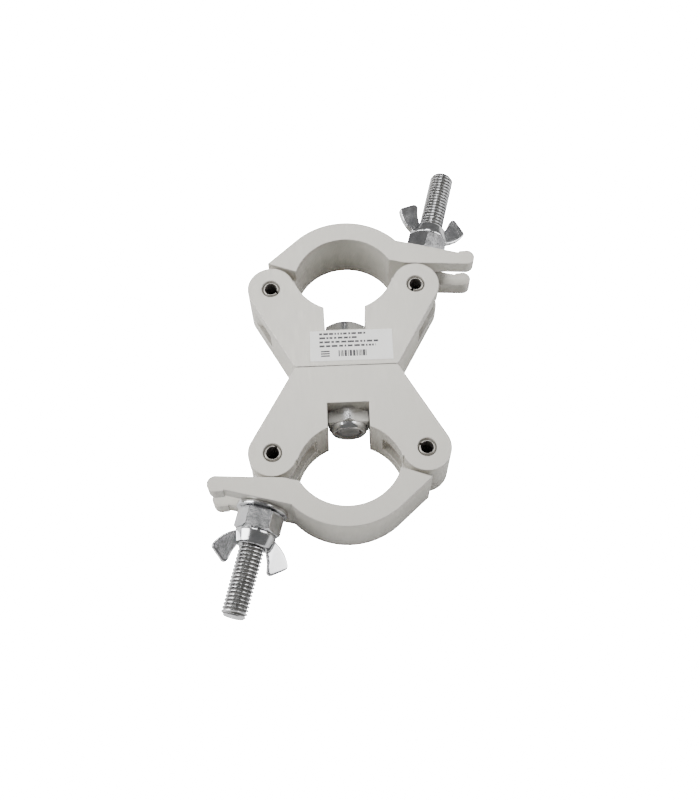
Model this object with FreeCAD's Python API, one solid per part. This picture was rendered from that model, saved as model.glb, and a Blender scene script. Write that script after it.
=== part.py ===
import FreeCAD, Part
import math
import os

# Swivel tube coupler: two half couplers back to back on one swivel bolt, in mm.
# The tubes run along Z, the swivel bolt runs along Y, and the origin is on the
# swivel axis, half way between the halves and half way along the profile.
# Every clamp piece is built for the lower half and turned about Z for the upper.
WIDTH = 30.0  # length of the aluminium profile along the tube
BORE_R = 25.5  # radius of the seat and of the jaw, for 48 to 51 mm tube
SEAT_Y = 55.1  # swivel plane to the centre of the seat
HALF_GAP = 0.15  # swivel plane to the flat back of each half
BASE_HALF = 25.0  # half width of the flat back
BASE_CHAMFER = 1.0
PIN_X = 35.4  # pins to the middle plane
PIN_Y = 42.9  # pins to the swivel plane
EAR_R = 11.4  # round ends of the body about the pins
POCKET_R = 21.5  # round slots that the jaw tongue and the eye swing in
POCKET_HALF = 6.3
SLOT_HALF = 9.85  # channel for the head and nut of the swivel bolt
SLOT_FLOOR = 19.1

PIN_R = 4.0
PIN_WALL = 1.0
PIN_LENGTH = 29.4
PIN_SLIT = 1.2
PIN_CHAMFER = 0.6
COUNTERSINK = 0.6  # widening at the mouths of the pin holes
COUNTERSINK_DEPTH = 1.8
RUNNING_FIT = 0.08  # radial clearance on pins, bolts and threads

JAW_X = -1.2  # centre of the jaw's arc with the clamp closed
JAW_Y = -44.0
JAW_WALL = 9.8
JAW_SHOULDER = (23.1, -52.1)  # the jaw's flat step beside its tongue
JAW_CORNER = (36.9, -57.3)
FLANK_ANGLE = -45.6  # where the flat flank meets the outer arc
HEEL_ANGLE = -149.4  # where the bore arc meets the tail
TAIL_LAND = (-30.7, -55.0)
TAIL_HIGH = (-61.5, -53.0)
TAIL_END = (-65.4, -56.8)
TAIL_LOW = (-60.6, -60.6)
TONGUE_TOP = (23.5, -44.0)
TONGUE_LOW = (25.0, -58.0)
TONGUE_BACK = (35.2, -56.5)
TONGUE_HALF = 6.0
FORK_HALF = 6.5
FORK_DEPTH = 1.5  # how far the fork's round end lies inside the bolt axis

BOLT_TILT = 15.0  # eyebolt to the swivel axis, in degrees
TILT = math.radians(BOLT_TILT)
BOLT_R = 6.0
BOLT_LENGTH = 74.0
EYE_R = 9.5
EYE_HALF = 5.7
NECK_HALF = 9.2
NECK_TIP = 5.5
NECK_END = 11.5
NECK_THICK = 8.4
SHANK_START = 6.5  # inside the eye, clear of its hole
BOLT_CHAMFER = 1.2
CLAMP_FACE = 22.1  # pin to the jaw's washer face, along the eyebolt
FACE_END = 17.2  # bolt axis to the lip at the end of the washer face
LIP = 0.7
WASHER_R = 12.0
WASHER_HOLE_R = 6.4
WASHER_THICK = 2.0
HEX_NUT_FLATS = 19.0
HEX_NUT_HEIGHT = 10.0
HEX_TURN = 25.0  # how far the lower nut is turned from flats across the clamp
FACE_LAND = 0.97  # round land on a nut's face, as a part of its flats
CORNER_CHAMFER = 30.0  # in degrees
FACE_GAP = 0.1  # left between washer, nuts and jaw
WING_HUB_R = 9.8
WING_HUB_TOP_R = 8.2
WING_HUB_RIM = 2.0
WING_HUB_HEIGHT = 10.0
WING_THICK = 3.0
WING_ROOT = (6.6, 1.2)  # one wing's outline, out from the hub and back
WING_ELBOW = (11.5, 2.6)
WING_OUTER = (18.2, 8.6)
WING_OUTER_BEND = (19.3, 11.0)
WING_SHOULDER = (18.0, 13.0)
WING_TOP = (13.4, 17.1)
WING_TOP_BEND = (11.6, 17.6)
WING_INNER = (9.6, 16.4)
WING_ROOT_TOP = (6.6, 9.2)
WING_TURN = 20.0  # wings to the plane of the clamp, in degrees

SWIVEL_R = 6.0
SWIVEL_FLATS = 19.0
SWIVEL_HEAD = 7.5
SWIVEL_NUT_HEX = 7.0
SWIVEL_NUT_HEIGHT = 10.0
SWIVEL_END = 9.2  # bolt end past the nut's seating face
SWIVEL_CHAMFER = 1.0
COLLAR_R = 8.9
COLLAR_EDGE = 8.0
COLLAR_BEND_R = 8.3
COLLAR_BEND = 9.2
COLLAR_TOP_R = 7.6
INSERT_R = 7.4
INSERT_LOW = 7.2
INSERT_HIGH = 9.4
INSERT_GRIP = 0.6  # how far the collar is rolled in over the ring
THRUST_R = 15.0
THRUST_THICK = 0.2

LABEL_LEFT = -17.0
LABEL_RIGHT = 22.4
LABEL_LOW = 2.5
LABEL_HIGH = 18.5
LABEL_THICK = 0.15

ORIGIN = FreeCAD.Vector(0, 0, 0)
X_AXIS = FreeCAD.Vector(1, 0, 0)
Z_AXIS = FreeCAD.Vector(0, 0, 1)
HINGE = FreeCAD.Vector(PIN_X, -PIN_Y, 0)
EYE = FreeCAD.Vector(-PIN_X, -PIN_Y, 0)


def point(x, y):
    return FreeCAD.Vector(x, y, 0)


def polar(radius, degrees):
    angle = math.radians(degrees)
    return point(radius * math.cos(angle), radius * math.sin(angle))


def prism(steps, thickness):
    """Extrude a closed outline, centred on z = 0. A step is a corner, or an
    arc's middle point and end point."""
    edges = []
    here = steps[0]
    for step in steps[1:] + steps[:1]:
        if isinstance(step, tuple):
            edges.append(Part.Arc(here, step[0], step[1]).toShape())
            here = step[1]
        elif not here.isEqual(step, 1e-6):
            edges.append(Part.LineSegment(here, step).toShape())
            here = step
    face = Part.Face(Part.Wire(edges))
    solid = face.extrude(FreeCAD.Vector(0, 0, thickness))
    solid.translate(FreeCAD.Vector(0, 0, -thickness / 2))
    return solid


def rod(radius, thickness, at):
    """A cylinder along Z, centred on z = 0."""
    return Part.makeCylinder(radius, thickness, at - Z_AXIS * (thickness / 2), Z_AXIS)


def turned_profile(corners):
    """Revolve an outline of (radius, height) corners about Z."""
    corners = [FreeCAD.Vector(r, 0, z) for r, z in corners]
    face = Part.Face(Part.makePolygon(corners + corners[:1]))
    return face.revolve(ORIGIN, Z_AXIS, 360)


def hexagon(flats, height, chamfer_low, chamfer_high):
    """A hexagon with its base on z = 0, two flats facing X, and corners chamfered
    at the ends that ask for it."""
    corner = flats / math.sqrt(3)
    ring = [
        point(corner * math.sin(math.radians(a)), corner * math.cos(math.radians(a)))
        for a in range(0, 360, 60)
    ]
    solid = prism(ring, height)
    solid.translate(Z_AXIS * (height / 2))
    face_r = flats / 2 * FACE_LAND
    drop = (corner - face_r) * math.tan(math.radians(CORNER_CHAMFER))
    low_r = face_r if chamfer_low else corner
    high_r = face_r if chamfer_high else corner
    wide = corner + 0.01
    sides = [(low_r, 0), (wide, drop), (wide, height - drop), (high_r, height)]
    blank = turned_profile([(0, 0)] + sides + [(0, height)])
    return solid.common(blank)


def lie_along(shape, tilt, start):
    """Turn a shape's +Z to point down -Y, tilt it and move its base to start.
    Its X stays in the plane of the clamp and its Y points along the tube."""
    shape = shape.copy()
    shape.rotate(ORIGIN, X_AXIS, 90)
    shape.rotate(ORIGIN, Z_AXIS, -tilt)
    shape.translate(start)
    return shape


def on_eyebolt(shape, distance):
    """Place a shape on the eyebolt, so far from the eye."""
    shape = shape.copy()
    shape.translate(Z_AXIS * distance)
    return lie_along(shape, BOLT_TILT, EYE)


def tangent_from(start, centre, radius):
    """Where the line from start touches the outside of a round ear."""
    reach = centre - start
    turn = math.asin(radius / reach.Length)
    heading = math.atan2(reach.y, reach.x) + turn
    length = math.sqrt(reach.Length**2 - radius**2)
    return start + point(math.cos(heading), math.sin(heading)) * length


def half_body():
    """The extruded and milled half, open at its seat."""
    corner = point(BASE_HALF, -HALF_GAP - BASE_CHAMFER)
    touch = tangent_from(corner, HINGE, EAR_R)
    seat = point(0, -SEAT_Y)
    cusp = seat + (HINGE - seat).normalize() * (BORE_R + 0.1)
    right = [point(BASE_HALF - BASE_CHAMFER, -HALF_GAP), corner, touch, HINGE, cusp]
    left = [point(-p.x, p.y) for p in reversed(right)]
    body = prism(right + left, WIDTH)
    body = body.fuse([rod(EAR_R, WIDTH, HINGE), rod(EAR_R, WIDTH, EYE)])
    depth = SEAT_Y - SLOT_FLOOR
    channel_corner = FreeCAD.Vector(-SLOT_HALF, -SEAT_Y, -WIDTH)
    channel = Part.makeBox(2 * SLOT_HALF, depth, 2 * WIDTH, channel_corner)
    swivel_hole = lie_along(Part.makeCylinder(SWIVEL_R + RUNNING_FIT, SEAT_Y), 0, ORIGIN)
    cuts = [rod(BORE_R, 2 * WIDTH, seat), channel, swivel_hole]
    for pin in (HINGE, EYE):
        cuts.append(rod(POCKET_R, 2 * POCKET_HALF, pin))
        cuts.append(rod(PIN_R, 2 * WIDTH, pin))
        for side in (1, -1):
            mouth = pin + Z_AXIS * (side * WIDTH / 2)
            inward = Z_AXIS * -side
            wide = PIN_R + COUNTERSINK
            cuts.append(Part.makeCone(wide, PIN_R, COUNTERSINK_DEPTH, mouth, inward))
    return body.cut(cuts).removeSplitter()


def jaw():
    """The swinging jaw: an arc, a tongue to its hinge and a forked tail."""
    centre = point(JAW_X, JAW_Y)
    outer_r = BORE_R + JAW_WALL
    flank_end = centre + polar(outer_r, FLANK_ANGLE)
    along = point(-math.sin(TILT), -math.cos(TILT))
    outward = point(-math.cos(TILT), math.sin(TILT))
    seat = EYE + along * CLAMP_FACE
    face_end = seat + outward * FACE_END
    lip = face_end + along * LIP
    offset = (seat - centre).dot(along)
    face_start = centre + along * offset + outward * math.sqrt(outer_r**2 - offset**2)
    heel = centre + polar(BORE_R, HEEL_ANGLE)
    outside = centre + polar(outer_r, -90)
    inside = centre + polar(BORE_R, -90)
    start = centre + (point(*JAW_SHOULDER) - centre).normalize() * BORE_R
    hinge_side = [start, point(*JAW_CORNER), flank_end, (outside, face_start)]
    tail_end = (point(*TAIL_END), point(*TAIL_HIGH))
    tail = [face_end, lip, point(*TAIL_LOW), tail_end, point(*TAIL_LAND)]
    blank = prism(hinge_side + tail + [heel, (inside, start)], WIDTH)
    tongue_corners = [point(*TONGUE_TOP), start, point(*TONGUE_LOW), point(*TONGUE_BACK), HINGE]
    tongue = prism(tongue_corners, 2 * TONGUE_HALF)
    knuckle = rod(EAR_R, 2 * TONGUE_HALF, HINGE)
    whole = blank.fuse([tongue, knuckle])
    room = rod(BORE_R, 2 * WIDTH, centre)
    fork_corner = FreeCAD.Vector(-WIDTH, -FORK_HALF, -CLAMP_FACE)
    fork = Part.makeBox(WIDTH + FORK_DEPTH, 2 * FORK_HALF, 2 * CLAMP_FACE, fork_corner)
    fork = fork.fuse(rod(FORK_HALF, 2 * CLAMP_FACE, point(FORK_DEPTH, 0)))
    pin_hole = rod(PIN_R + RUNNING_FIT, 2 * WIDTH, HINGE)
    return whole.cut([room, on_eyebolt(fork, 1.2 * CLAMP_FACE), pin_hole]).removeSplitter()


def roll_pin(at, slit_turn):
    """A rolled spring pin: a split tube with chamfered ends."""
    half = PIN_LENGTH / 2
    bore = PIN_R - PIN_WALL
    narrow = PIN_R - PIN_CHAMFER
    shoulder = half - PIN_CHAMFER
    low_end = [(bore, -half), (narrow, -half), (PIN_R, -shoulder)]
    high_end = [(PIN_R, shoulder), (narrow, half), (bore, half)]
    pin = turned_profile(low_end + high_end)
    slit = Part.makeBox(2 * PIN_R, PIN_SLIT, 2 * WIDTH, FreeCAD.Vector(0, -PIN_SLIT / 2, -WIDTH))
    slit.rotate(ORIGIN, Z_AXIS, slit_turn)
    pin = pin.cut(slit)
    pin.translate(at)
    return pin


def eyebolt():
    """The swing bolt: a flat eye, a short neck and a threaded shank."""
    tip = BOLT_LENGTH - BOLT_CHAMFER
    tip_profile = [(BOLT_R, tip), (BOLT_R - BOLT_CHAMFER, BOLT_LENGTH), (0, BOLT_LENGTH)]
    shank = turned_profile([(0, SHANK_START), (BOLT_R, SHANK_START)] + tip_profile)
    neck_eye = [point(NECK_HALF, 0), point(-NECK_HALF, 0)]
    neck_tip = [point(-NECK_TIP, -NECK_END), point(NECK_TIP, -NECK_END)]
    neck = prism(neck_eye + neck_tip, NECK_THICK)
    neck.rotate(ORIGIN, Z_AXIS, -BOLT_TILT)
    neck.translate(EYE)
    head = rod(EYE_R, 2 * EYE_HALF, EYE).fuse(neck)
    bolt = head.fuse(on_eyebolt(shank, 0))
    return bolt.cut(rod(PIN_R + RUNNING_FIT, 2 * WIDTH, EYE)).removeSplitter()


def washer():
    ring = turned_profile(
        [(WASHER_HOLE_R, 0), (WASHER_R, 0), (WASHER_R, WASHER_THICK), (WASHER_HOLE_R, WASHER_THICK)]
    )
    return on_eyebolt(ring, CLAMP_FACE + FACE_GAP)


def hex_nut(turn):
    nut = hexagon(HEX_NUT_FLATS, HEX_NUT_HEIGHT, True, True)
    nut = nut.cut(Part.makeCylinder(BOLT_R + RUNNING_FIT, HEX_NUT_HEIGHT))
    nut.rotate(ORIGIN, Z_AXIS, turn)
    return on_eyebolt(nut, CLAMP_FACE + WASHER_THICK + 2 * FACE_GAP)


def wing_nut(turn):
    """A wing nut whose flat wings lean out towards the bolt's tip."""
    rim = [(0, 0), (WING_HUB_R, 0), (WING_HUB_R, WING_HUB_RIM)]
    hub = turned_profile(rim + [(WING_HUB_TOP_R, WING_HUB_HEIGHT), (0, WING_HUB_HEIGHT)])
    solids = []
    for side in (1, -1):

        def at(corner):
            return point(side * corner[0], corner[1])

        outline = [at(WING_ROOT), at(WING_ELBOW), at(WING_OUTER)]
        outline += [(at(WING_OUTER_BEND), at(WING_SHOULDER)), at(WING_TOP)]
        outline += [(at(WING_TOP_BEND), at(WING_INNER)), at(WING_ROOT_TOP)]
        wing = prism(outline, WING_THICK)
        wing.rotate(ORIGIN, X_AXIS, 90)
        solids.append(wing)
    nut = hub.fuse(solids).cut(Part.makeCylinder(BOLT_R + RUNNING_FIT, WING_HUB_HEIGHT))
    nut.rotate(ORIGIN, Z_AXIS, turn)
    distance = CLAMP_FACE + WASHER_THICK + HEX_NUT_HEIGHT + 4 * FACE_GAP
    return on_eyebolt(nut.removeSplitter(), distance)


def swivel_bolt():
    """Hexagon bolt whose head is held between the walls of the upper channel."""
    length = 2 * SLOT_FLOOR + SWIVEL_END
    head = hexagon(SWIVEL_FLATS, SWIVEL_HEAD, True, False)
    head.translate(Z_AXIS * -SWIVEL_HEAD)
    shoulder = length - SWIVEL_CHAMFER
    tip = [(SWIVEL_R, shoulder), (SWIVEL_R - SWIVEL_CHAMFER, length), (0, length)]
    shank = turned_profile([(0, -SWIVEL_HEAD / 2), (SWIVEL_R, -SWIVEL_HEAD / 2)] + tip)
    return lie_along(head.fuse(shank).removeSplitter(), 0, point(0, SLOT_FLOOR))


def swivel_nut():
    """Lock nut with a round collar that holds a nylon ring."""
    corners = hexagon(SWIVEL_FLATS, SWIVEL_NUT_HEX, True, True)
    rim = [(COLLAR_R, COLLAR_EDGE), (COLLAR_BEND_R, COLLAR_BEND), (COLLAR_TOP_R, SWIVEL_NUT_HEIGHT)]
    foot = SWIVEL_NUT_HEX / 2
    collar = turned_profile([(0, foot), (COLLAR_R, foot)] + rim + [(0, SWIVEL_NUT_HEIGHT)])
    bore = Part.makeCylinder(SWIVEL_R + RUNNING_FIT, 2 * SWIVEL_NUT_HEIGHT)
    seat = Part.makeCylinder(INSERT_R, INSERT_HIGH - INSERT_LOW, Z_AXIS * INSERT_LOW)
    mouth = Part.makeCylinder(INSERT_R - INSERT_GRIP, SWIVEL_NUT_HEIGHT, Z_AXIS * INSERT_HIGH)
    nut = corners.fuse(collar).cut([bore, seat, mouth]).removeSplitter()
    return lie_along(nut, 0, point(0, -SLOT_FLOOR))


def swivel_nut_insert():
    bore = SWIVEL_R + RUNNING_FIT
    outside = [(INSERT_R, INSERT_LOW), (INSERT_R, INSERT_HIGH)]
    ring = turned_profile([(bore, INSERT_LOW)] + outside + [(bore, INSERT_HIGH)])
    return lie_along(ring, 0, point(0, -SLOT_FLOOR))


def thrust_washer():
    """Thin ring that keeps the two halves apart. It lies on the lower half."""
    bore = SWIVEL_R + RUNNING_FIT
    outside = [(THRUST_R, 0), (THRUST_R, THRUST_THICK)]
    ring = turned_profile([(bore, 0)] + outside + [(bore, THRUST_THICK)])
    return lie_along(ring, 0, point(0, THRUST_THICK - HALF_GAP))


def rating_label():
    """Sticker on the end face of the upper half."""
    corner = FreeCAD.Vector(LABEL_LEFT, LABEL_LOW, WIDTH / 2)
    return Part.makeBox(LABEL_RIGHT - LABEL_LEFT, LABEL_HIGH - LABEL_LOW, LABEL_THICK, corner)


def clamp(hex_turn, wing_turn):
    """Every piece of the lower clamp."""
    return {
        "body": half_body(),
        "jaw": jaw(),
        "hinge_pin": roll_pin(HINGE, 150),
        "eyebolt_pin": roll_pin(EYE, 60),
        "eyebolt": eyebolt(),
        "washer": washer(),
        "hex_nut": hex_nut(hex_turn),
        "wing_nut": wing_nut(wing_turn),
    }


def main():
    nodes = {
        "swivel_bolt": swivel_bolt(),
        "swivel_nut": swivel_nut(),
        "swivel_nut_insert": swivel_nut_insert(),
        "thrust_washer": thrust_washer(),
        "rating_label": rating_label(),
    }
    for name, shape in clamp(HEX_TURN, -WING_TURN).items():
        nodes["lower_" + name] = shape
    for name, shape in clamp(0, WING_TURN).items():
        shape.rotate(ORIGIN, Z_AXIS, 180)
        nodes["upper_" + name] = shape
    os.makedirs("parts", exist_ok=True)
    for name, shape in nodes.items():
        if shape.ShapeType == "Compound" and len(shape.Solids) == 1:
            shape = shape.Solids[0]
        shape.exportStep("parts/" + name + ".step")


main()
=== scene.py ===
import math
import random

import bmesh
import bpy
from mathutils import Euler, Matrix, Vector


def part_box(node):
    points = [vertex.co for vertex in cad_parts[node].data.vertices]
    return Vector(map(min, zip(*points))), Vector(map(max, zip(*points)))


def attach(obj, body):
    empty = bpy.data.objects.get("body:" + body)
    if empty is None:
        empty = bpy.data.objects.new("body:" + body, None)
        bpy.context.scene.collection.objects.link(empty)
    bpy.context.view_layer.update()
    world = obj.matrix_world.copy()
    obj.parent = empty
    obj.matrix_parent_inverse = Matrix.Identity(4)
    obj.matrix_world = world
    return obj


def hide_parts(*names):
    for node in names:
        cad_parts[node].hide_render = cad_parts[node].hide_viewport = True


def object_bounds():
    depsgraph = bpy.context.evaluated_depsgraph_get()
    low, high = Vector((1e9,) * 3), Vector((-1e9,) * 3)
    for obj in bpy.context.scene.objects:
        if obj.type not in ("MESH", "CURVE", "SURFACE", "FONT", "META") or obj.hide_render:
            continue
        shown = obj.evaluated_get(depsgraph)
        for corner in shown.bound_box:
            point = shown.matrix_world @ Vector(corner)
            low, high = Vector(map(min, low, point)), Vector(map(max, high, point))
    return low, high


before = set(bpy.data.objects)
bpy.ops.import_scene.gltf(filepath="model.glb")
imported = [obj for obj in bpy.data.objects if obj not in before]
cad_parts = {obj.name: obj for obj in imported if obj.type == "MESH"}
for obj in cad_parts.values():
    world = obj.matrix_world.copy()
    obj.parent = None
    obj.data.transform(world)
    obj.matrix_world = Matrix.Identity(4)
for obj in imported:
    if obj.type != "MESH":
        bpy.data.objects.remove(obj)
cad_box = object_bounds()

MM = 0.001

# Sizes of the mesh pieces, in mm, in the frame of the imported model.
PIN = Vector((35.4, 42.9, 0.0))
TILT = math.radians(15.0)
EYE_R = 9.5
EYE_HALF = 5.7
EYE_BORE_R = 4.08
THREAD_R = 6.0
THREAD_DEPTH = 1.0
THREAD_START = 19.0
THREAD_TAPER = 1.3  # length of the pointed end
# The faces in these rows get the painted shade of the thread root.
ROOT_ROWS = (3, 4)  # the rows of a thread's profile that lie in its root
NECK_START = 4.6
BOLT_END = 74.0
LEAD = 1.75
WING_BASE = 34.5
WING_TURN = math.radians(20.0)


# Camera, lights and floor

def add_camera():
    camera = bpy.data.objects.new("camera", bpy.data.cameras.new("camera"))
    camera.data.lens = 49.03
    camera.data.sensor_width = 36.0
    camera.data.clip_start = 0.01
    camera.rotation_mode = "ZYX"
    camera.rotation_euler = Euler((0.4175, -0.0085, -0.0382), "ZYX")
    camera.location = Vector((-3.35, -224.00, 479.21)) * MM
    bpy.context.collection.objects.link(camera)
    bpy.context.scene.camera = camera


def add_area_light(name, place, size, power):
    light = bpy.data.lights.new(name, "AREA")
    light.shape = "RECTANGLE"
    light.size, light.size_y = size
    light.energy = power
    lamp = bpy.data.objects.new(name, light)
    lamp.location = place
    lamp.rotation_euler = (-Vector(place)).to_track_quat("-Z", "Y").to_euler()
    bpy.context.collection.objects.link(lamp)


def add_world():
    world = bpy.data.worlds.new("studio")
    bpy.context.scene.world = world
    world.use_nodes = True
    world.node_tree.nodes["Background"].inputs["Color"].default_value = (1.0, 1.0, 1.0, 1.0)
    world.node_tree.nodes["Background"].inputs["Strength"].default_value = 0.20


# Materials

class Shader:
    """A material's node tree, with short calls to add and join nodes."""

    def __init__(self, name):
        self.material = bpy.data.materials.new(name)
        self.material.use_nodes = True
        self.tree = self.material.node_tree
        self.surface = self.tree.nodes["Principled BSDF"]

    def add(self, kind, inputs=None, **settings):
        made = self.tree.nodes.new(kind)
        for key, value in settings.items():
            setattr(made, key, value)
        for key, value in (inputs or {}).items():
            if isinstance(value, bpy.types.NodeSocket):
                self.tree.links.new(value, made.inputs[key])
            else:
                made.inputs[key].default_value = value
        return made

    def noise(self, stretch, scale, detail=4.0, roughness=0.6):
        """Noise in the object's own space, stretched along X, Y and Z."""
        place = self.add("ShaderNodeTexCoord").outputs["Object"]
        mapped = self.add("ShaderNodeMapping", {"Vector": place, "Scale": stretch})
        sizes = {"Vector": mapped.outputs[0], "Scale": scale, "Detail": detail, "Roughness": roughness}
        return self.add("ShaderNodeTexNoise", sizes).outputs["Fac"]

    def ramp(self, value, low, high, start=0.3, end=0.7):
        """Map a value from start..end to low..high."""
        sizes = {"Value": value, "From Min": start, "From Max": end, "To Min": low, "To Max": high}
        return self.add("ShaderNodeMapRange", sizes).outputs[0]

    def maths(self, operation, a, b):
        return self.add("ShaderNodeMath", {0: a, 1: b}, operation=operation).outputs[0]

    def blend(self, factor, first, second):
        """Mix two colours. The mix node has a set of sockets for every data type."""
        made = self.add("ShaderNodeMix", data_type="RGBA")
        sockets = (made.inputs[0], made.inputs[6], made.inputs[7])
        for socket, value in zip(sockets, (factor, first, second)):
            if isinstance(value, bpy.types.NodeSocket):
                self.tree.links.new(value, socket)
            else:
                socket.default_value = value
        return made.outputs[2]

    def edges(self, width):
        """1 along sharp edges, 0 on the faces between them."""
        rounded = self.rounded(width)
        flat = self.add("ShaderNodeNewGeometry").outputs["Normal"]
        same = self.add("ShaderNodeVectorMath", {0: rounded, 1: flat}, operation="DOT_PRODUCT")
        return self.ramp(same.outputs["Value"], 1.0, 0.0, 0.72, 0.99)

    def bump(self, height, strength, distance, under=None):
        sizes = {"Height": height, "Strength": strength, "Distance": distance}
        if under is not None:
            sizes["Normal"] = under
        return self.add("ShaderNodeBump", sizes).outputs[0]

    def rounded(self, width):
        """The surface's normal with its sharp edges rounded off."""
        return self.add("ShaderNodeBevel", {"Radius": width}, samples=4).outputs[0]

    def finish(self, color, roughness, normal, metallic):
        links = self.tree.links
        links.new(color, self.surface.inputs["Base Color"])
        links.new(roughness, self.surface.inputs["Roughness"])
        links.new(normal, self.surface.inputs["Normal"])
        self.surface.inputs["Metallic"].default_value = metallic
        return self.material


def grey(level, warmth=0.0):
    return (level + warmth, level + warmth / 2, level - warmth, 1.0)


def aluminium():
    """Natural extruded aluminium: die lines along the profile, fine saw marks
    across its end faces, bright deburred edges and a little handling dirt."""
    s = Shader("natural_aluminium")
    facing = s.add("ShaderNodeSeparateXYZ", {0: s.add("ShaderNodeNewGeometry").outputs["Normal"]})
    up = s.ramp(s.maths("ABSOLUTE", facing.outputs[2], 0.0), 0.0, 1.0, 0.8, 0.95)
    die_lines = s.noise((1.0, 1.0, 0.02), 2600.0, 5.0)
    saw_marks = s.noise((1.0, 0.035, 1.0), 2400.0, 5.0)
    grain = s.noise((1.0, 1.0, 1.0), 5200.0, 3.0)
    stains = s.noise((1.0, 0.5, 0.8), 46.0, 6.0)
    on_end_faces = s.maths("MULTIPLY", saw_marks, up)
    on_walls = s.maths("MULTIPLY", die_lines, s.maths("SUBTRACT", 1.0, up))
    marks = s.maths("ADD", on_end_faces, on_walls)
    tone = s.blend(s.ramp(stains, 0.0, 1.0), grey(0.500, 0.034), grey(0.560, 0.034))
    tone = s.blend(s.ramp(marks, 0.0, 0.38), tone, grey(0.615, 0.030))
    tone = s.blend(s.maths("MULTIPLY", s.edges(0.0006), 0.6), tone, grey(0.80, 0.0))
    rough = s.maths("ADD", s.ramp(marks, 0.42, 0.56), s.ramp(stains, -0.03, 0.04))
    normal = s.bump(grain, 0.12, 0.00005, s.bump(marks, 0.22, 0.00006, s.rounded(0.00035)))
    return s.finish(tone, rough, normal, 0.55)


def zinc(name, low, high):
    """Bright zinc plate with faint turning marks and cloudy patches."""
    s = Shader(name)
    clouds = s.noise((1.0, 1.0, 1.0), 220.0, 5.0)
    grain = s.noise((1.0, 1.0, 1.0), 3800.0, 3.0)
    tone = s.blend(s.ramp(clouds, 0.0, 1.0), grey(low, -0.008), grey(high, -0.004))
    tone = s.blend(s.maths("MULTIPLY", s.edges(0.0003), 0.5), tone, grey(0.88))
    rough = s.maths("ADD", s.ramp(clouds, 0.13, 0.22), s.ramp(grain, -0.03, 0.05))
    normal = s.bump(grain, 0.10, 0.00003, s.rounded(0.00012))
    return s.finish(tone, rough, normal, 1.0)


def painted_shade_thread_root():
    """Painted shade in the roots of a thread: near-black colour with faint cloudy variation, standing in
    for the shade there.
    """
    s = Shader("painted_shade_thread_root")
    clouds = s.noise((1.0, 1.0, 1.0), 700.0, 4.0)
    tone = s.blend(s.ramp(clouds, 0.0, 1.0), grey(0.07, 0.004), grey(0.16, 0.004))
    rough = s.ramp(clouds, 0.38, 0.55)
    return s.finish(tone, rough, s.bump(clouds, 0.15, 0.00003), 0.6)


def pin_steel():
    """Dark, oiled spring steel with scuffed edges."""
    s = Shader("spring_steel")
    clouds = s.noise((1.0, 1.0, 0.4), 500.0, 4.0)
    tone = s.blend(s.ramp(clouds, 0.0, 1.0), (0.24, 0.225, 0.205, 1.0), (0.42, 0.405, 0.38, 1.0))
    tone = s.blend(s.maths("MULTIPLY", s.edges(0.0003), 0.7), tone, grey(0.72))
    rough = s.ramp(clouds, 0.28, 0.46)
    normal = s.bump(clouds, 0.15, 0.00003, s.rounded(0.00018))
    return s.finish(tone, rough, normal, 0.9)


def nylon():
    """Nylon, grey with oil, with faint turning marks."""
    s = Shader("nylon")
    clouds = s.noise((1.0, 1.0, 1.0), 900.0, 3.0)
    tone = s.blend(s.ramp(clouds, 0.0, 1.0), (0.30, 0.30, 0.29, 1.0), (0.46, 0.46, 0.44, 1.0))
    s.surface.inputs["Subsurface Weight"].default_value = 0.15
    s.surface.inputs["Subsurface Scale"].default_value = 0.001
    return s.finish(tone, s.ramp(clouds, 0.34, 0.46), s.bump(clouds, 0.1, 0.00003, s.rounded(0.0002)), 0.0)


def sticker():
    """Off-white film with a little dirt."""
    s = Shader("label_film")
    clouds = s.noise((1.0, 1.0, 1.0), 150.0, 5.0)
    fibres = s.noise((1.0, 1.0, 1.0), 4200.0, 3.0)
    tone = s.blend(s.ramp(clouds, 0.0, 1.0), (0.90, 0.90, 0.87, 1.0), (0.96, 0.96, 0.94, 1.0))
    return s.finish(tone, s.ramp(fibres, 0.38, 0.52), s.bump(fibres, 0.08, 0.00002), 0.0)


def ink():
    """Dark print that has worn thin in places."""
    s = Shader("label_ink")
    wear = s.noise((1.0, 1.0, 1.0), 1800.0, 4.0)
    tone = s.blend(s.ramp(wear, 0.0, 1.0), (0.028, 0.028, 0.030, 1.0), (0.085, 0.085, 0.088, 1.0))
    return s.finish(tone, s.ramp(wear, 0.45, 0.6), s.bump(wear, 0.05, 0.00002), 0.0)


def studio_floor():
    """White paper, lit from behind as the camera sees it."""
    s = Shader("studio_floor")
    paper = s.noise((1.0, 1.0, 1.0), 60.0, 3.0)
    tone = s.blend(s.ramp(paper, 0.0, 1.0), grey(0.94), grey(0.96))
    seen = s.add("ShaderNodeLightPath").outputs["Is Camera Ray"]
    s.surface.inputs["Emission Color"].default_value = grey(1.0)
    s.tree.links.new(s.maths("MULTIPLY", seen, 30.0), s.surface.inputs["Emission Strength"])
    return s.finish(tone, s.ramp(paper, 0.85, 0.95), s.bump(paper, 0.01, 0.0001), 0.0)


# Mesh pieces


def add_piece(name, mesh, material, body, replaced=None):
    piece = bpy.data.objects.new(name, mesh)
    bpy.context.collection.objects.link(piece)
    mesh.materials.append(material)
    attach(piece, body)
    if replaced:
        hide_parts(replaced)
    return piece


def place_on_eyebolt(upper, distance=0.0, turn=0.0):
    """Matrix from a frame with +Z along the eyebolt to the model, in metres."""
    lower = (
        Matrix.Translation(Vector((-PIN.x, -PIN.y, 0.0)))
        @ Matrix.Rotation(-TILT, 4, "Z")
        @ Matrix.Rotation(math.radians(90.0), 4, "X")
        @ Matrix.Translation(Vector((0.0, 0.0, distance)))
        @ Matrix.Rotation(turn, 4, "Z")
    )
    half_turn = Matrix.Rotation(math.pi if upper else 0.0, 4, "Z")
    return Matrix.Scale(MM, 4) @ half_turn @ lower


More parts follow.
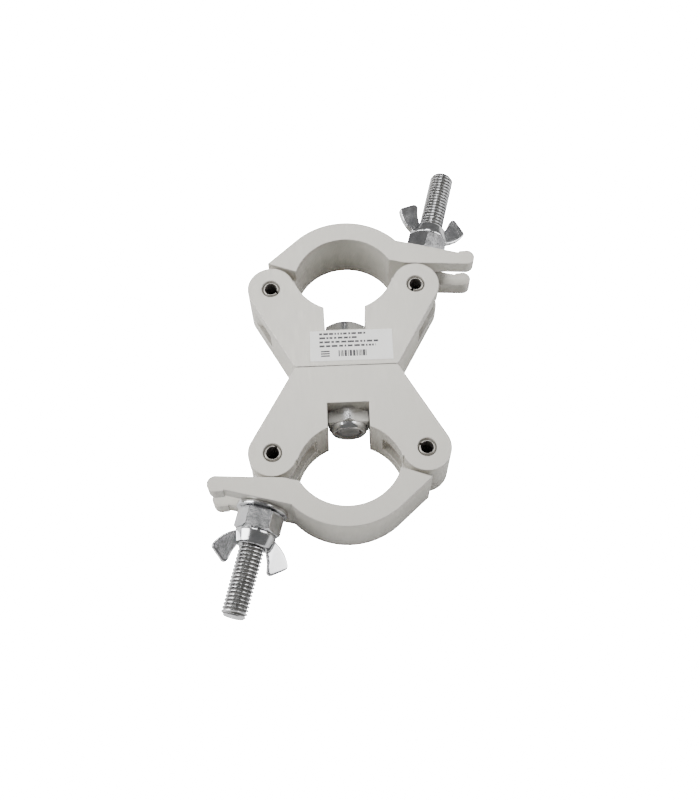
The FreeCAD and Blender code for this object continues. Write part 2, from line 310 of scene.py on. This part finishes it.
def add_ring(bm, radius_at, height_at, sides):
    ring = []
    for i in range(sides):
        angle = 2 * math.pi * i / sides
        r = radius_at(angle)
        ring.append(bm.verts.new((r * math.cos(angle), r * math.sin(angle), height_at(angle))))
    return ring


def bridge(bm, low, high):
    sides = len(low)
    for i in range(sides):
        j = (i + 1) % sides
        bm.faces.new((low[i], low[j], high[j], high[i]))


def add_thread(bm, radius, start, end, sides=48):
    """A rolled thread. Its rings climb one lead per turn, so crest and root are
    smooth helices. The tip tapers to just under the root."""
    root = radius - THREAD_DEPTH
    profile = (radius, radius, root + 0.45 * THREAD_DEPTH, root, root, root + 0.55 * THREAD_DEPTH)
    rows = []
    count = int((end - start) / LEAD * len(profile)) + len(profile)
    for row in range(-len(profile), count):
        base = start + row * LEAD / len(profile)
        crest = profile[row % len(profile)]

        def height(angle):
            return min(max(base + LEAD * angle / (2 * math.pi), start), end)

        def radius_here(angle):
            taper = max(0.0, 1.0 - (end - height(angle)) / THREAD_TAPER)
            return crest - (crest - root + 0.25) * taper

        rows.append(add_ring(bm, radius_here, height, sides))
    for k in range(len(rows) - 1):
        low, high = rows[k], rows[k + 1]
        faces = []
        for i in range(sides - 1):
            faces.append(bm.faces.new((low[i], low[i + 1], high[i + 1], high[i])))
        ahead = k + len(profile)
        if ahead + 1 < len(rows):
            seam = (low[sides - 1], rows[ahead][0], rows[ahead + 1][0], high[sides - 1])
            faces.append(bm.faces.new(seam))
        for face in faces:
            # Faces in the thread's root take material 1, the painted shade of the root.
            face.material_index = 1 if k % len(profile) in ROOT_ROWS else 0
    cap = bm.verts.new((0.0, 0.0, end))
    last = add_ring(bm, lambda a: root - 0.2, lambda a: end, sides)
    for i in range(sides):
        bm.faces.new((last[i], last[(i + 1) % sides], cap))


def add_eye(bm):
    """The forged eye: a rounded ring, flattened on both faces, with its bore."""
    sides = 48
    shape = (
        (EYE_BORE_R + 0.6, EYE_HALF), (EYE_BORE_R, EYE_HALF - 0.6), (EYE_BORE_R, -EYE_HALF + 0.6),
        (EYE_BORE_R + 0.6, -EYE_HALF), (EYE_R - 1.0, -EYE_HALF), (EYE_R, -EYE_HALF + 1.0),
        (EYE_R, EYE_HALF - 1.0), (EYE_R - 1.0, EYE_HALF),
    )
    rings = []
    for r, y in shape:
        ring = []
        for i in range(sides):
            angle = 2 * math.pi * i / sides
            ring.append(bm.verts.new((r * math.cos(angle), y, r * math.sin(angle))))
        rings.append(ring)
    for k in range(len(rings)):
        bridge(bm, rings[k], rings[(k + 1) % len(rings)])


def add_neck(bm):
    """The neck between eye and shank, wide and flat at the eye, round at its end."""
    sides = 48
    rings = []
    steps = 8
    for k in range(steps + 1):
        t = k / steps
        smooth = t * t * (3 - 2 * t)
        wide = EYE_R - 1.6 + (THREAD_R - 0.1 - EYE_R + 1.6) * smooth
        thick = EYE_HALF - 0.1
        height = NECK_START + (THREAD_START - NECK_START) * t * 0.999
        ring = []
        for i in range(sides):
            angle = 2 * math.pi * i / sides
            ring.append(bm.verts.new((wide * math.cos(angle), thick * math.sin(angle), height)))
        rings.append(ring)
    for k in range(steps):
        bridge(bm, rings[k], rings[k + 1])


def to_mesh(bm, name, matrix, smooth=True):
    bm.transform(matrix)
    bmesh.ops.recalc_face_normals(bm, faces=bm.faces)
    mesh = bpy.data.meshes.new(name)
    bm.to_mesh(mesh)
    bm.free()
    for polygon in mesh.polygons:
        polygon.use_smooth = smooth
    return mesh


def eyebolt_mesh(name, upper):
    bm = bmesh.new()
    add_eye(bm)
    add_neck(bm)
    add_thread(bm, THREAD_R, THREAD_START, BOLT_END)
    mesh = to_mesh(bm, name, place_on_eyebolt(upper))
    mesh.set_sharp_from_angle(angle=math.radians(35.0))
    return mesh


def wing_nut_mesh(name, upper):
    """A cast wing nut: a tapered hub and two flat wings, melted into one skin."""
    bm = bmesh.new()
    profile = ((5.9, 0.0), (9.5, 0.0), (9.5, 1.4), (8.9, 3.6), (8.1, 6.3), (7.4, 6.9), (5.9, 6.9))
    rings = [add_ring(bm, lambda a, r=r: r, lambda a, h=h: h, 64) for r, h in profile]
    for k in range(len(rings)):
        bridge(bm, rings[k], rings[(k + 1) % len(rings)])
    for side in (1, -1):
        add_wing(bm, side)
    turn = WING_TURN if upper else -WING_TURN
    return to_mesh(bm, name, place_on_eyebolt(upper, WING_BASE, turn))


def add_wing(bm, side):
    """One flat wing, thicker at the hub, with a rounded tip."""
    outline = [(6.4, 0.7), (9.4, 1.3), (12.4, 3.1), (15.2, 5.6), (17.3, 8.6)]
    outline += arc((16.2, 11.0), 2.0, -20.0, 65.0, 5)
    outline += arc((11.2, 15.2), 1.9, 70.0, 165.0, 5)
    outline += [(8.6, 11.6), (6.4, 6.2)]
    faces = []
    for half in (1.5, -1.5):
        loop = []
        for x, z in outline:
            thick = half * (1.25 - 0.25 * min(1.0, (x - 6.4) / 6.0))
            loop.append(bm.verts.new((side * x, thick, z)))
        faces.append(loop)
        bm.faces.new(loop)
    bridge(bm, faces[0], faces[1])


def arc(centre, radius, start, end, count):
    points = []
    for i in range(count):
        angle = math.radians(start + (end - start) * i / (count - 1))
        points.append((centre[0] + radius * math.cos(angle), centre[1] + radius * math.sin(angle)))
    return points


def melt(piece, voxel, smoothing):
    """Join a piece's overlapping closed shells and soften its corners."""
    remesh = piece.modifiers.new("skin", "REMESH")
    remesh.mode = "VOXEL"
    remesh.voxel_size = voxel
    remesh.use_smooth_shade = True
    soft = piece.modifiers.new("soft", "SMOOTH")
    soft.factor = 0.5
    soft.iterations = smoothing


def soften(node, width):
    """Break a machined piece's sharp edges."""
    weld = node.modifiers.new("weld", "WELD")
    weld.merge_threshold = 2e-6
    flat = node.modifiers.new("flat", "DECIMATE")
    flat.decimate_type = "DISSOLVE"
    flat.angle_limit = math.radians(0.6)
    bevel = node.modifiers.new("bevel", "BEVEL")
    bevel.width = width
    bevel.segments = 2
    bevel.limit_method = "ANGLE"
    bevel.angle_limit = math.radians(32.0)
    bevel.harden_normals = True


def print_mesh():
    """Generic print: four rows of short dashes, a block of bars and three lines."""
    low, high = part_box("rating_label")
    left, bottom = low[0] + 0.0045, low[1]
    top = high[2] + 0.00001
    wide, tall = high[0] - low[0] - 0.0095, high[1] - low[1]
    chance = random.Random(7)
    bars = []
    for row, share in enumerate((0.74, 0.62, 0.94, 0.90)):
        y = bottom + tall * (0.86 - 0.135 * row)
        x = left
        while x < left + wide * share:
            width = chance.uniform(0.0007, 0.0032)
            bars.append((x, y, min(width, left + wide * share - x), 0.00105))
            x += width + chance.uniform(0.0004, 0.0008)
    y = bottom + tall * 0.14
    x = left + wide * 0.30
    while x < left + wide * 0.74:
        width = chance.choice((0.00035, 0.0006, 0.0011))
        bars.append((x, y, width, 0.0032))
        x += width + chance.choice((0.0003, 0.0005))
    for lift in (0.0, 0.0012, 0.0024):
        bars.append((left + 0.0006, y + lift, 0.0042, 0.0007))
    bm = bmesh.new()
    for x, y, w, h in bars:
        corners = ((x, y, top), (x + w, y, top), (x + w, y + h, top), (x, y + h, top))
        bm.faces.new([bm.verts.new(corner) for corner in corners])
    return to_mesh(bm, "label_print", Matrix.Identity(4), False)


def build():
    add_camera()
    add_world()
    add_area_light("left_softbox", (-0.80, 0.05, 0.52), (0.55, 0.75), 13.0)
    add_area_light("right_softbox", (0.70, 0.10, 0.50), (0.35, 0.70), 5.0)
    add_area_light("top_softbox", (-0.02, 0.42, 0.78), (0.35, 0.30), 3.4)
    # root is the painted shade for the thread roots.
    metal, spring, root = aluminium(), pin_steel(), painted_shade_thread_root()
    plated, dull = zinc("bright_zinc", 0.52, 0.68), zinc("dull_zinc", 0.40, 0.52)
    white, film, print_ink = nylon(), sticker(), ink()
    for name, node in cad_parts.items():
        if name.endswith(("_body", "_jaw")):
            material = metal
            soften(node, 0.00035)
        elif name.endswith("_pin"):
            material = spring
            soften(node, 0.00015)
        elif name in ("swivel_nut_insert", "thrust_washer"):
            material = white
        elif name == "rating_label":
            material = film
        else:
            material = dull if name == "swivel_bolt" else plated
            soften(node, 0.00025)
        node.data.materials.clear()
        node.data.materials.append(material)
    for side in ("lower", "upper"):
        upper = side == "upper"
        bolt, nut = side + "_eyebolt", side + "_wing_nut"
        mesh = eyebolt_mesh(side + "_threaded_bolt", upper)
        add_piece(side + "_threaded_bolt", mesh, plated, bolt, bolt)
        # Material 1 of the threaded bolt is the painted shade in its thread roots.
        mesh.materials.append(root)
        mesh = wing_nut_mesh(side + "_cast_wing_nut", upper)
        piece = add_piece(side + "_cast_wing_nut", mesh, plated, nut, nut)
        melt(piece, 0.00032, 6)
    add_piece("label_print", print_mesh(), print_ink, "upper_half")
    bpy.ops.mesh.primitive_plane_add(size=6.0, location=(0.0, 0.0, cad_box[0][2]))
    floor = bpy.context.object
    floor.name = "floor"
    floor.data.materials.append(studio_floor())


build()
